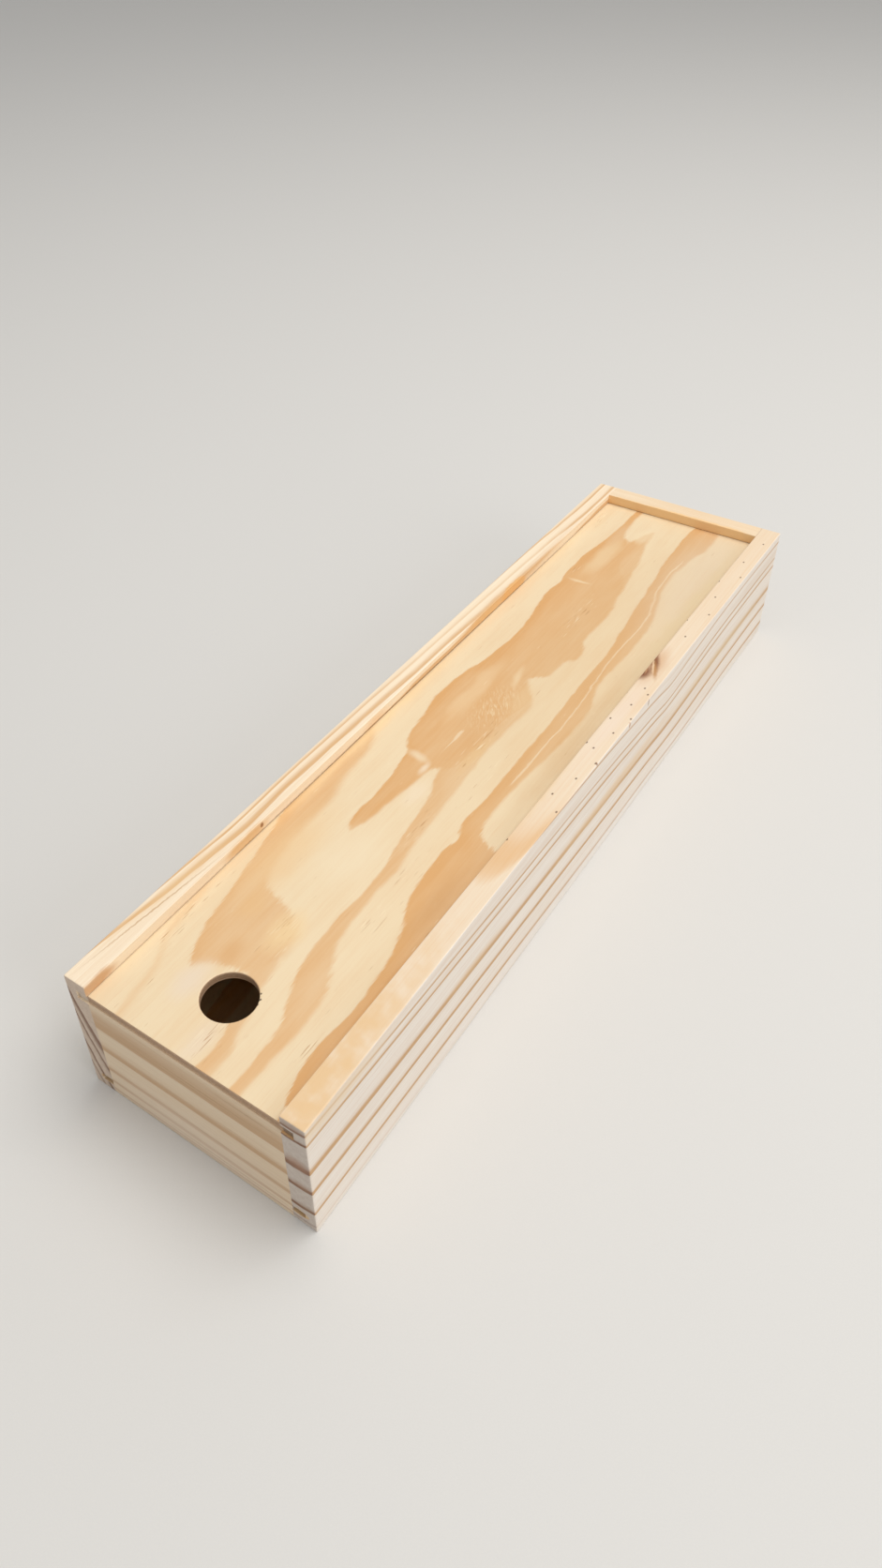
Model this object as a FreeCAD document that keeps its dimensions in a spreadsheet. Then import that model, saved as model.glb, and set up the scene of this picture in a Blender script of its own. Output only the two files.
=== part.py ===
import FreeCAD, Part
import os
import Sketcher

# Sliding-lid wooden tool box.
#
# Frame: +X to the right, +Y from the front (the end where the lid comes out)
# to the back, +Z up. The origin is the middle of the box's footprint.
#
# Four pine boards stand on edge. The two end boards are clamped between the
# two side boards and held by glue and blind dowels. A groove low down in all
# four boards holds the plywood bottom. A second groove near the top, in the
# sides and the back, carries the plywood lid. The front board stops at that
# groove's floor, so the lid slides out over it. Both grooves are cut the full
# length of the side boards and stay open at their ends.

doc = FreeCAD.newDocument("SlidingLidToolBox")

# ---------------------------------------------------------------------------
# Driving sizes, in millimetres
# ---------------------------------------------------------------------------
SIZES = (
    ("box_length", 600.0, "outside, front to back"),
    ("box_width", 152.0, "outside, left to right"),
    ("box_height", 92.0, "outside, bottom to top"),
    ("board_thickness", 14.5, "planed pine of all four boards"),
    ("eased_outer", 0.8, "radius sanded on the outer arrises"),
    ("eased_inner", 0.4, "radius sanded on the inner arrises"),
    ("lid_thickness", 5.5, "plywood sheet of the lid"),
    ("lid_lip", 7.2, "pine left above the lid groove"),
    ("lid_groove_depth", 7.5, "lid groove, into the side and back boards"),
    ("lid_groove_play", 0.5, "groove height beyond the lid's thickness"),
    ("lid_run_gap", 0.1, "between the lid and the groove floor it runs on"),
    ("lid_side_gap", 0.7, "lid edge to groove wall, each side"),
    ("lid_back_gap", 0.3, "lid's rear edge to the back groove's wall"),
    ("lid_setback", 1.0, "lid's front edge behind the box's front face"),
    ("lid_eased", 0.4, "radius sanded on the lid's edges"),
    ("finger_hole_diameter", 30.0, "drilled through the lid"),
    ("finger_hole_from_front", 40.0, "hole centre to the box's front face"),
    ("finger_hole_offset", 2.5, "hole centre to the left of the middle"),
    ("finger_hole_rim", 0.8, "radius round both rims of the hole"),
    ("bottom_thickness", 4.0, "plywood sheet of the bottom"),
    ("bottom_rise", 7.0, "pine left below the bottom groove"),
    ("bottom_groove_depth", 8.0, "bottom groove, into all four boards"),
    ("bottom_groove_play", 0.4, "groove height beyond the bottom's thickness"),
    ("bottom_edge_gap", 0.5, "bottom's edge to the groove wall, all round"),
    ("dowel_diameter", 6.0, "fluted beech dowels in the corner joints"),
    ("dowel_length", 30.0, "over both chamfered ends"),
    ("dowel_chamfer", 1.0, "at both ends of a dowel"),
    ("dowel_glue_gap", 0.1, "dowel to its hole, all round"),
    ("dowel_end_room", 0.5, "dowel's end to the floor of its hole"),
    ("dowel_side_depth", 10.0, "blind hole into a side board"),
    ("dowel_margin", 15.6, "dowel's axis to the groove below or above it"),
    ("flute_width", 1.1, "mouth of the V-shaped flutes that let the glue escape"),
    ("flute_depth", 0.45, "of a flute below the dowel's surface"),
    ("flute_count", 8, "flutes round a dowel"),
)

sheet = doc.addObject("Spreadsheet::Sheet", "Sizes")
for row, (alias, size, meaning) in enumerate(SIZES, start=1):
    sheet.set(f"A{row}", alias)
    sheet.set(f"B{row}", str(size))
    sheet.set(f"C{row}", meaning)
    sheet.setAlias(f"B{row}", alias)
doc.recompute()

# Sizes that follow from the driving ones, as expressions on the sheet.
HALF_LENGTH = "(Sizes.box_length / 2)"
HALF_WIDTH = "(Sizes.box_width / 2)"
INNER_WIDTH = "(Sizes.box_width - 2 * Sizes.board_thickness)"
INNER_LENGTH = "(Sizes.box_length - 2 * Sizes.board_thickness)"
LID_GROOVE_HEIGHT = "(Sizes.lid_thickness + Sizes.lid_groove_play)"
LID_GROOVE_FLOOR = f"(Sizes.box_height - Sizes.lid_lip - {LID_GROOVE_HEIGHT})"
LID_WEB = "(Sizes.board_thickness - Sizes.lid_groove_depth)"
LID_UNDERSIDE = f"({LID_GROOVE_FLOOR} + Sizes.lid_run_gap)"
LID_WIDTH = f"(Sizes.box_width - 2 * {LID_WEB} - 2 * Sizes.lid_side_gap)"
LID_LENGTH = f"(Sizes.box_length - {LID_WEB} - Sizes.lid_back_gap - Sizes.lid_setback)"
BOTTOM_GROOVE_HEIGHT = "(Sizes.bottom_thickness + Sizes.bottom_groove_play)"
BOTTOM_GROOVE_TOP = f"(Sizes.bottom_rise + {BOTTOM_GROOVE_HEIGHT})"
BOTTOM_TONGUE = "(Sizes.bottom_groove_depth - Sizes.bottom_edge_gap)"
BOTTOM_WIDTH = f"({INNER_WIDTH} + 2 * {BOTTOM_TONGUE})"
BOTTOM_LENGTH = f"({INNER_LENGTH} + 2 * {BOTTOM_TONGUE})"
DOWEL_LEVELS = {
    "lower": f"({BOTTOM_GROOVE_TOP} + Sizes.dowel_margin)",
    "upper": f"({LID_GROOVE_FLOOR} - Sizes.dowel_margin)",
}
DOWEL_HOLE_RADIUS = "(Sizes.dowel_diameter / 2 + Sizes.dowel_glue_gap)"
DOWEL_END_DEPTH = "(Sizes.dowel_length + 2 * Sizes.dowel_end_room - Sizes.dowel_side_depth)"
DOWEL_ROW = f"({HALF_LENGTH} - Sizes.board_thickness / 2)"

HALF_TURN = FreeCAD.Rotation(FreeCAD.Vector(0, 0, 1), 180)
NO_TURN = FreeCAD.Rotation()


# ---------------------------------------------------------------------------
# Document helpers
# ---------------------------------------------------------------------------
def number(expression):
    """The present value of an expression on the sheet, as a plain number."""
    value = sheet.evalExpression(str(expression))
    return float(getattr(value, "Value", value))


def new_body(label, at, turned=NO_TURN):
    """A body whose local origin sits at three expressions, x, y and z."""
    body = doc.addObject("PartDesign::Body", label)
    body.Label = label
    body.Placement = FreeCAD.Placement(FreeCAD.Vector(), turned)
    for axis, expression in zip("xyz", at):
        body.setExpression(f"Placement.Base.{axis}", expression)
    return body


def origin_feature(body, role):
    """One of the body's own origin planes or axes."""
    return next(item for item in body.Origin.OriginFeatures if item.Role == role)


def new_sketch(body, name, plane, lift="0"):
    """A sketch on one of the body's origin planes, lifted along its normal."""
    sketch = body.newObject("Sketcher::SketchObject", name)
    sketch.AttachmentSupport = [(origin_feature(body, plane), "")]
    sketch.MapMode = "FlatFace"
    sketch.setExpression("AttachmentOffset.Base.z", lift)
    return sketch


def dimension(sketch, kind, where, expression):
    """A driving dimension of the sketch, bound to an expression."""
    index = sketch.addConstraint(Sketcher.Constraint(kind, *where, number(expression)))
    name = f"{kind}_{index}"
    sketch.renameConstraint(index, name)
    sketch.setExpression(f"Constraints.{name}", expression)


def add_outline(sketch, corners):
    """Closed outline of straight edges; each corner is a pair of expressions.

    Every corner is dimensioned from the sketch's origin.
    """
    points = [FreeCAD.Vector(number(across), number(up), 0) for across, up in corners]
    first = sketch.GeometryCount
    last = first + len(points) - 1
    for start, end in zip(points, points[1:] + points[:1]):
        sketch.addGeometry(Part.LineSegment(start, end), False)
    for edge in range(first, last + 1):
        following = edge + 1 if edge < last else first
        sketch.addConstraint(Sketcher.Constraint("Coincident", edge, 2, following, 1))
    for edge, (across, up) in enumerate(corners, start=first):
        dimension(sketch, "DistanceX", (-1, 1, edge, 1), across)
        dimension(sketch, "DistanceY", (-1, 1, edge, 1), up)


def add_rectangle(sketch, left, low, right, high):
    """Rectangle between two pairs of expressions."""
    add_outline(sketch, [(left, low), (right, low), (right, high), (left, high)])


def add_circle(sketch, across, up, radius):
    """Circle dimensioned from the sketch's origin."""
    centre = FreeCAD.Vector(number(across), number(up), 0)
    circle = Part.Circle(centre, FreeCAD.Vector(0, 0, 1), number(radius))
    index = sketch.addGeometry(circle, False)
    dimension(sketch, "Radius", (index,), radius)
    dimension(sketch, "DistanceX", (-1, 1, index, 3), across)
    dimension(sketch, "DistanceY", (-1, 1, index, 3), up)


def pad(body, sketch, name, length, both_ways=False):
    """Pad along the sketch's normal, or equally to both sides of it."""
    feature = body.newObject("PartDesign::Pad", name)
    feature.Profile = sketch
    feature.SideType = "Symmetric" if both_ways else "One side"
    feature.setExpression("Length", length)
    doc.recompute()
    return feature


def pocket(body, sketch, name, depth=None, along_normal=False):
    """Pocket of a depth, or right through both ways, that has to remove wood."""
    before = body.Shape.Volume
    feature = body.newObject("PartDesign::Pocket", name)
    feature.Profile = sketch
    if depth is None:
        feature.Type = "ThroughAll"
        feature.SideType = "Symmetric"
    else:
        feature.Reversed = along_normal
        feature.setExpression("Length", depth)
    doc.recompute()
    if not body.Shape.Volume < before:
        raise RuntimeError(f"{body.Label}.{name} cuts nothing")
    return feature


def edges_along(feature, **places):
    """Names of the feature's straight edges at the given x, y or z."""
    wanted = {axis: number(expression) for axis, expression in places.items()}
    names = []
    for index, edge in enumerate(feature.Shape.Edges, start=1):
        ends = [vertex.Point for vertex in edge.Vertexes]
        misses = [abs(getattr(end, axis) - place) for end in ends for axis, place in wanted.items()]
        if max(misses) < 1e-4:
            names.append(f"Edge{index}")
    return names


def circles_of(feature, radius):
    """Names of the feature's full round edges of a radius."""
    wanted = number(radius)
    names = []
    for index, edge in enumerate(feature.Shape.Edges, start=1):
        round_edge = isinstance(edge.Curve, Part.Circle)
        if round_edge and abs(edge.Curve.Radius - wanted) < 1e-4:
            names.append(f"Edge{index}")
    return names


def ease(body, name, radius, edges):
    """Round over a list of the body's present edges."""
    base = body.Tip
    feature = body.newObject("PartDesign::Fillet", name)
    feature.Base = (base, edges)
    feature.setExpression("Radius", radius)
    doc.recompute()
    return feature


# ---------------------------------------------------------------------------
# Side boards
# ---------------------------------------------------------------------------
def make_side_board(label, centre_x, turned):
    """A side board, outer face on local x = 0, inner face towards local +x.

    Both sides are the same board: the right one is the left one turned round.
    """
    body = new_body(label, (centre_x, "0", "0"), turned)

    section = new_sketch(body, f"{label}_section", "XZ_Plane")
    add_rectangle(section, "0", "0", "Sizes.board_thickness", "Sizes.box_height")
    pad(body, section, f"{label}_board", "Sizes.box_length", both_ways=True)

    lid_groove = new_sketch(body, f"{label}_lid_groove_section", "XZ_Plane")
    add_rectangle(
        lid_groove,
        LID_WEB,
        LID_GROOVE_FLOOR,
        "Sizes.board_thickness",
        f"{LID_GROOVE_FLOOR} + {LID_GROOVE_HEIGHT}",
    )
    pocket(body, lid_groove, f"{label}_lid_groove")

    bottom_groove = new_sketch(body, f"{label}_bottom_groove_section", "XZ_Plane")
    add_rectangle(
        bottom_groove,
        "Sizes.board_thickness - Sizes.bottom_groove_depth",
        "Sizes.bottom_rise",
        "Sizes.board_thickness",
        BOTTOM_GROOVE_TOP,
    )
    pocket(body, bottom_groove, f"{label}_bottom_groove")

    dowel_marks = new_sketch(body, f"{label}_dowel_marks", "YZ_Plane", "Sizes.board_thickness")
    for row in (f"-{DOWEL_ROW}", DOWEL_ROW):
        for level in DOWEL_LEVELS.values():
            add_circle(dowel_marks, row, level, DOWEL_HOLE_RADIUS)
    board = pocket(body, dowel_marks, f"{label}_dowel_holes", "Sizes.dowel_side_depth")

    outer = edges_along(board, x="0", z="0") + edges_along(board, x="0", z="Sizes.box_height")
    for end in (f"-{HALF_LENGTH}", HALF_LENGTH):
        outer += edges_along(board, x="0", y=end)
        outer += edges_along(board, y=end, z="Sizes.box_height")
        outer += edges_along(board, y=end, z="0")
    ease(body, f"{label}_outer_arrises", "Sizes.eased_outer", outer)

    inner = edges_along(body.Tip, x="Sizes.board_thickness", z="Sizes.box_height")
    ease(body, f"{label}_inner_arris", "Sizes.eased_inner", inner)
    return body


# ---------------------------------------------------------------------------
# End boards, clamped between the sides
# ---------------------------------------------------------------------------
def make_end_board(label, centre_y, turned, height, carries_lid):
    """An end board, outer face on local y = 0, inner face towards local +y."""
    body = new_body(label, ("0", centre_y, "0"), turned)
    half = f"{INNER_WIDTH} / 2"

    section = new_sketch(body, f"{label}_section", "YZ_Plane")
    add_rectangle(section, "0", "0", "Sizes.board_thickness", height)
    pad(body, section, f"{label}_board", INNER_WIDTH, both_ways=True)

    bottom_groove = new_sketch(body, f"{label}_bottom_groove_section", "YZ_Plane")
    add_rectangle(
        bottom_groove,
        "Sizes.board_thickness - Sizes.bottom_groove_depth",
        "Sizes.bottom_rise",
        "Sizes.board_thickness",
        BOTTOM_GROOVE_TOP,
    )
    pocket(body, bottom_groove, f"{label}_bottom_groove")

    if carries_lid:
        lid_groove = new_sketch(body, f"{label}_lid_groove_section", "YZ_Plane")
        add_rectangle(
            lid_groove,
            LID_WEB,
            LID_GROOVE_FLOOR,
            "Sizes.board_thickness",
            f"{LID_GROOVE_FLOOR} + {LID_GROOVE_HEIGHT}",
        )
        pocket(body, lid_groove, f"{label}_lid_groove")

    # The dowel holes go into the end grain at both ends of the board.
    for side, lift, inwards in (("left", f"-{half}", True), ("right", half, False)):
        marks = new_sketch(body, f"{label}_{side}_dowel_marks", "YZ_Plane", lift)
        for level in DOWEL_LEVELS.values():
            add_circle(marks, "Sizes.board_thickness / 2", level, DOWEL_HOLE_RADIUS)
        pocket(body, marks, f"{label}_{side}_dowel_holes", DOWEL_END_DEPTH, along_normal=inwards)

    board = body.Tip
    outer = edges_along(board, y="0", z="0")
    outer += edges_along(board, y="0", z=height)
    ease(body, f"{label}_outer_arrises", "Sizes.eased_outer", outer)
    inner = edges_along(body.Tip, y="Sizes.board_thickness", z=height)
    ease(body, f"{label}_inner_arris", "Sizes.eased_inner", inner)
    return body


# ---------------------------------------------------------------------------
# Plywood lid and bottom
# ---------------------------------------------------------------------------
def make_lid():
    """The sliding lid, local origin in the middle of its front edge, underside."""
    body = new_body("lid", ("0", f"-{HALF_LENGTH} + Sizes.lid_setback", LID_UNDERSIDE))

    sheet_outline = new_sketch(body, "lid_outline", "XY_Plane")
    add_rectangle(sheet_outline, f"-{LID_WIDTH} / 2", "0", f"{LID_WIDTH} / 2", LID_LENGTH)
    pad(body, sheet_outline, "lid_sheet", "Sizes.lid_thickness")

    hole_mark = new_sketch(body, "finger_hole_mark", "XY_Plane")
    add_circle(
        hole_mark,
        "-Sizes.finger_hole_offset",
        "Sizes.finger_hole_from_front - Sizes.lid_setback",
        "Sizes.finger_hole_diameter / 2",
    )
    drilled = pocket(body, hole_mark, "finger_hole")

    rims = circles_of(drilled, "Sizes.finger_hole_diameter / 2")
    ease(body, "finger_hole_rims", "Sizes.finger_hole_rim", rims)

    edges = []
    for level in ("0", "Sizes.lid_thickness"):
        edges += edges_along(body.Tip, x=f"-{LID_WIDTH} / 2", z=level)
        edges += edges_along(body.Tip, x=f"{LID_WIDTH} / 2", z=level)
        edges += edges_along(body.Tip, y="0", z=level)
        edges += edges_along(body.Tip, y=LID_LENGTH, z=level)
    ease(body, "lid_arrises", "Sizes.lid_eased", edges)
    return body


def make_bottom_panel():
    """The bottom, local origin in the middle of its underside."""
    body = new_body("bottom_panel", ("0", "0", "Sizes.bottom_rise"))
    outline = new_sketch(body, "bottom_outline", "XY_Plane")
    add_rectangle(
        outline,
        f"-{BOTTOM_WIDTH} / 2",
        f"-{BOTTOM_LENGTH} / 2",
        f"{BOTTOM_WIDTH} / 2",
        f"{BOTTOM_LENGTH} / 2",
    )
    pad(body, outline, "bottom_sheet", "Sizes.bottom_thickness")
    return body


# ---------------------------------------------------------------------------
# Fluted dowels, two in each corner joint
# ---------------------------------------------------------------------------
def make_dowel(label, side_sign, end_sign, level):
    """One fluted dowel lying along X, local origin in its middle.

    Its outer end stops just short of the blind hole's floor in the side board.
    """
    reach = "Sizes.dowel_side_depth - Sizes.dowel_end_room - Sizes.dowel_length / 2"
    centre_x = f"{side_sign} * ({INNER_WIDTH} / 2 + {reach})"
    centre_y = f"{end_sign} * {DOWEL_ROW}"
    along_x = FreeCAD.Rotation(FreeCAD.Vector(0, 1, 0), 90)
    body = new_body(label, (centre_x, centre_y, level), along_x)

    radius = "Sizes.dowel_diameter / 2"
    half = "Sizes.dowel_length / 2"
    profile = new_sketch(body, f"{label}_half_section", "XZ_Plane")
    add_outline(
        profile,
        [
            ("0", f"-{half}"),
            (f"{radius} - Sizes.dowel_chamfer", f"-{half}"),
            (radius, f"-{half} + Sizes.dowel_chamfer"),
            (radius, f"{half} - Sizes.dowel_chamfer"),
            (f"{radius} - Sizes.dowel_chamfer", half),
            ("0", half),
        ],
    )
    turned_pin = body.newObject("PartDesign::Revolution", f"{label}_pin")
    turned_pin.Profile = profile
    turned_pin.ReferenceAxis = (profile, ["V_Axis"])
    turned_pin.Angle = 360
    doc.recompute()

    # The V's sides run on to twice the flute's depth, outside the dowel.
    flute_end = new_sketch(body, f"{label}_flute_end", "XY_Plane")
    add_outline(
        flute_end,
        [
            (f"{radius} - Sizes.flute_depth", "0"),
            (f"{radius} + Sizes.flute_depth", "Sizes.flute_width"),
            (f"{radius} + Sizes.flute_depth", "-Sizes.flute_width"),
        ],
    )
    flute = pocket(body, flute_end, f"{label}_flute")

    flutes = body.newObject("PartDesign::PolarPattern", f"{label}_flutes")
    flutes.Originals = [flute]
    flutes.Axis = (origin_feature(body, "Z_Axis"), [""])
    flutes.Angle = 360
    flutes.setExpression("Occurrences", "Sizes.flute_count")
    body.Tip = flutes
    doc.recompute()
    return body


# ---------------------------------------------------------------------------
# Assembly
# ---------------------------------------------------------------------------
def make_tool_box():
    """All the separate pieces of the box, each in its own body."""
    pieces = [
        make_side_board("left_side", f"-{HALF_WIDTH}", NO_TURN),
        make_side_board("right_side", HALF_WIDTH, HALF_TURN),
        make_end_board("front_end", f"-{HALF_LENGTH}", NO_TURN, LID_GROOVE_FLOOR, False),
        make_end_board("back_end", HALF_LENGTH, HALF_TURN, "Sizes.box_height", True),
        make_bottom_panel(),
        make_lid(),
    ]
    for end, end_sign in (("front", "-1"), ("back", "1")):
        for side, side_sign in (("left", "-1"), ("right", "1")):
            for name, level in DOWEL_LEVELS.items():
                label = f"dowel_{end}_{side}_{name}"
                pieces.append(make_dowel(label, side_sign, end_sign, level))
    return pieces


def check(pieces):
    """Stop if a feature failed or a piece isn't one sound solid."""
    for item in doc.Objects:
        if "Invalid" in item.State or "Error" in item.State:
            raise RuntimeError(f"{item.Name} failed: {item.State}")
    for piece in pieces:
        shape = piece.Shape
        if shape.isNull() or not shape.isValid() or len(shape.Solids) != 1:
            raise RuntimeError(f"{piece.Label} isn't one sound solid")


parts = make_tool_box()
doc.recompute()
check(parts)
os.makedirs("parts", exist_ok=True)
for part in parts:
    part.Shape.exportStep(f"parts/{part.Label}.step")
    box = part.Shape.BoundBox
    print(
        f"{part.Label:26s} volume {part.Shape.Volume / 1000:8.2f} cm3"
        f"  x {box.XMin:8.2f} {box.XMax:8.2f}"
        f"  y {box.YMin:8.2f} {box.YMax:8.2f}"
        f"  z {box.ZMin:6.2f} {box.ZMax:6.2f}"
    )
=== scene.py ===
"""Finishes, studio and camera for a sliding-lid wooden tool box of pine and plywood."""

import logging
import math
from dataclasses import dataclass, field
from enum import Enum
from typing import Any

import bpy
from mathutils import Matrix, Vector

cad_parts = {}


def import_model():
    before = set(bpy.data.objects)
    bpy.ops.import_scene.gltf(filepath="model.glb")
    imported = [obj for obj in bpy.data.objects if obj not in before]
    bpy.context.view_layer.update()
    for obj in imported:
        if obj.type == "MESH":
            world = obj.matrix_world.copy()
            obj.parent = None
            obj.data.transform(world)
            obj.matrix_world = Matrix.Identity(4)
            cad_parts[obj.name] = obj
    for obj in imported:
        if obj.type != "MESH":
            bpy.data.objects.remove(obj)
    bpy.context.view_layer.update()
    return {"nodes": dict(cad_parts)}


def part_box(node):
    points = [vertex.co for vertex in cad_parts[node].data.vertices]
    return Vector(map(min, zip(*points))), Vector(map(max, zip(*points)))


log = logging.getLogger("tool_box")

MM = 0.001
# Wood and paper are both mostly cellulose, so both have only its weak, even sheen.
CELLULOSE_IOR = 1.5

# Short names of the node types that the finishes use.
MATH = "ShaderNodeMath"
VECTOR = "ShaderNodeVectorMath"
RANGE = "ShaderNodeMapRange"
CURVE = "ShaderNodeFloatCurve"
NOISE = "ShaderNodeTexNoise"
MIX = "ShaderNodeMix"
SPLIT = "ShaderNodeSeparateXYZ"
TURN = "ShaderNodeVectorRotate"

Point = tuple[float, float]
Place = tuple[float, float, float]

# The farthest that a drift moves the rings, and that a tongue's edge lies from the middle.
DRIFT_REACH: Point = (-40.0, 40.0)
BAND_REACH: Point = (-90.0, 90.0)
# Where within its fade a ring has come down to its body.
RING_KNEE = 0.35
# The least step between two points of a ring curve, which can't have two in one place.
LEAST_STEP = 0.05
# Farther than any speck reaches, in specks' radii.
FAR = 9.0
# The slant of curly figure in degrees, and the width, length and height of its strokes.
RIPPLE_SLANT = -32.0
RIPPLE_STROKE: Place = (0.9, 6.0, 5.0)
# How much likelier a resin canal is within a bed, how rare it is elsewhere, and how fast its
# edge comes up.
CANAL_CROWDING = 0.14
CANAL_RARITY = 0.79
CANAL_EDGE = 0.06
# A bed of resin canals has a place but no tone of its own.
NO_TONE = ""
# The colour of noise at its average, where it pushes a point nowhere.
MID_NOISE: Place = (0.5, 0.5, 0.5)
# Shares of a finish's relief: how far planed latewood and a veneer's fibres rise, and how far
# the surface falls into a cut resin canal.
LATE_RISE = 0.35
HAIR_RISE = 0.5
CANAL_FALL = -0.8


# --- Colour, nodes and the surface that a finish is painted on ---
def linear(code: str) -> tuple[float, float, float, float]:
    """Turn an sRGB hex colour into linear RGBA.

    Args:
        code: six hex digits, with or without a leading #.

    Returns:
        The linear colour with full alpha.
    """
    digits = code.lstrip("#")
    channels = [int(digits[start:start + 2], 16) / 255 for start in (0, 2, 4)]
    curve = [c / 12.92 if c <= 0.04045 else ((c + 0.055) / 1.055) ** 2.4 for c in channels]
    return (curve[0], curve[1], curve[2], 1.0)


class Surface:
    """A material in the making: its node tree and the place of each point in millimetres."""

    def __init__(self, name: str) -> None:
        """Start an empty material.

        Args:
            name: what the real material is.
        """
        self.material = bpy.data.materials.new(name)
        self.material.use_nodes = True
        self.tree = self.material.node_tree
        self.tree.nodes.clear()
        source = self.add("ShaderNodeTexCoord")
        self.place = self.add(VECTOR, {0: source.outputs["Object"], "Scale": 1 / MM}, "SCALE")
        split = self.add(SPLIT, (self.place,))
        self.x, self.y, self.z = split.outputs
        facing = self.add(VECTOR, (source.outputs["Normal"],), "ABSOLUTE")
        self.facing_x, self.facing_y, self.facing_z = self.add(SPLIT, (facing,)).outputs

    def add(
        self, kind: str, inputs: dict[Any, Any] | tuple[Any, ...] = (), operation: str = "",
        **settings: Any,
    ) -> bpy.types.Node:
        """Add a node, set it up and feed its inputs.

        Args:
            kind: the node's type.
            inputs: a value, socket or node for each live input, in order or by place or name.
            operation: what a math or vector node works out.
            settings: the node's other properties.

        Returns:
            The new node.
        """
        node = self.tree.nodes.new(kind)
        if operation:
            node.operation = operation
        for name, value in settings.items():
            setattr(node, name, value)
        pairs = inputs.items() if isinstance(inputs, dict) else enumerate(inputs)
        for key, value in pairs:
            live = [socket for socket in node.inputs if socket.enabled]
            socket = live[key] if isinstance(key, int) else next(s for s in live if s.name == key)
            if isinstance(value, bpy.types.Node):
                value = next(output for output in value.outputs if output.enabled)
            if isinstance(value, bpy.types.NodeSocket):
                self.tree.links.new(value, socket)
            else:
                socket.default_value = value
        return node

    def profile(
        self, value: Any, points: list[Point], span: Point, height: Point
    ) -> bpy.types.Node:
        """Read a curve, given by its points, at a value.

        Args:
            value: the socket or node to read it at.
            points: the curve's points, from left to right.
            span: the first and last value that the curve covers.
            height: the lowest and highest result that it can give.

        Returns:
            The node that gives the curve's height.
        """
        share = self.add(RANGE, {"Value": value, "From Min": span[0], "From Max": span[1]})
        node = self.add(CURVE, {"Value": share})
        line = node.mapping.curves[0]
        rise = height[1] - height[0]
        places = [
            ((at - span[0]) / (span[1] - span[0]), (up - height[0]) / rise) for at, up in points
        ]
        line.points[0].location = places[0]
        line.points[1].location = places[-1]
        for place in places[1:-1]:
            line.points.new(*place)
        node.mapping.update()
        return self.add(RANGE, {"Value": node, "To Min": height[0], "To Max": height[1]})

    def finish(self, color: Any, roughness: Any, height: Any, relief: float) -> bpy.types.Material:
        """Close the material with a Principled shader.

        Args:
            color: the base colour.
            roughness: the surface roughness.
            height: the relief, from 0 to 1.
            relief: the depth of that relief in millimetres.

        Returns:
            The finished material.
        """
        bump = self.add(
            "ShaderNodeBump", {"Strength": 1.0, "Distance": relief * MM, "Height": height}
        )
        shader = self.add(
            "ShaderNodeBsdfPrincipled",
            {"Base Color": color, "Roughness": roughness, "Normal": bump, "IOR": CELLULOSE_IOR},
        )
        self.add("ShaderNodeOutputMaterial", {"Surface": shader})
        return self.material


# --- Marks in the wood ---
class Grain(Enum):
    """The direction in which a piece's fibres run."""

    ALONG_X = "x"
    ALONG_Y = "y"


class Fade(Enum):
    """The side of a latewood layer on which its colour dies away."""

    UPWARDS = 1
    DOWNWARDS = -1


@dataclass(frozen=True)
class Ring:
    """One latewood layer, in millimetres on a board's own ring scale."""

    at: float
    depth: float
    fade: float
    crisp: float = 0.6
    body: float = 0.45


@dataclass(frozen=True)
class Patch:
    """A soft-edged ellipsoid of another tone, in millimetres in the box's frame.

    It is turned about the upright axis by its turn, in degrees.
    """

    at: Place
    size: Place
    tone: str
    depth: float = 1.0
    edge: float = 0.6
    turn: float = 0.0


@dataclass(frozen=True)
class Band:
    """A tongue of latewood on a peeled veneer, between two edges along the sheet.

    Each point is the distance from the front edge and the place across, and
    the band is empty where its right edge lies left of its left one.
    """

    left: tuple[Point, ...]
    right: tuple[Point, ...]
    depth: float
    crisp: float = 1.2
    soft: float = 3.0


@dataclass(frozen=True)
class Strand:
    """The sizes in millimetres of a noise drawn out along the fibres, and its own seed."""

    length: float
    width: float
    seed: float
    detail: float = 3.0


# A real fibre is about 3 mm long and 0.03 mm wide, too fine to show, so hair and comb stand for
# bundles of fibres and are drawn ten or more times as wide. Hair gives a face its fine streaks,
# comb frays the tongues' edges, strands catch more or less light, and clouds are broad warmer
# and paler places.
PINE_WANDER = Strand(90.0, 14.0, 3.1)
PINE_HAIR = Strand(28.0, 0.45, 11.0)
PINE_STRAND = Strand(120.0, 1.3, 21.0)
PINE_CLOUD = Strand(160.0, 22.0, 5.7)
VENEER_HAIR = Strand(22.0, 0.5, 2.3)
VENEER_COMB = Strand(9.0, 0.3, 8.1)
VENEER_STRAND = Strand(90.0, 1.6, 13.0)
VENEER_CLOUD = Strand(70.0, 13.0, 6.4)
# A resin canal is about 0.2 mm wide and a fleck in beech 0.15 mm. Both are drawn about three
# times as wide, so that they show.
RESIN_CANAL = Strand(11.0, 0.6, 17.0, 0.5)
BEECH_FLECK = Strand(5.0, 0.4, 4.2)
# How a seed moves a noise along each axis, so that two noises never line up.
SEED_STEPS = (1.0, 0.37, 0.71)

# Noises without a direction, in cells to the millimetre. Real cut fibres, saw marks and paper
# tooth are finer than 0.1 mm, too fine to show, so they are drawn 0.5 to 0.8 mm wide.
END_MOTTLE = 0.35
END_PORES = 2.2
SAWN_GRIT = 1.4
PAPER_TOOTH = 1.2


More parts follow.
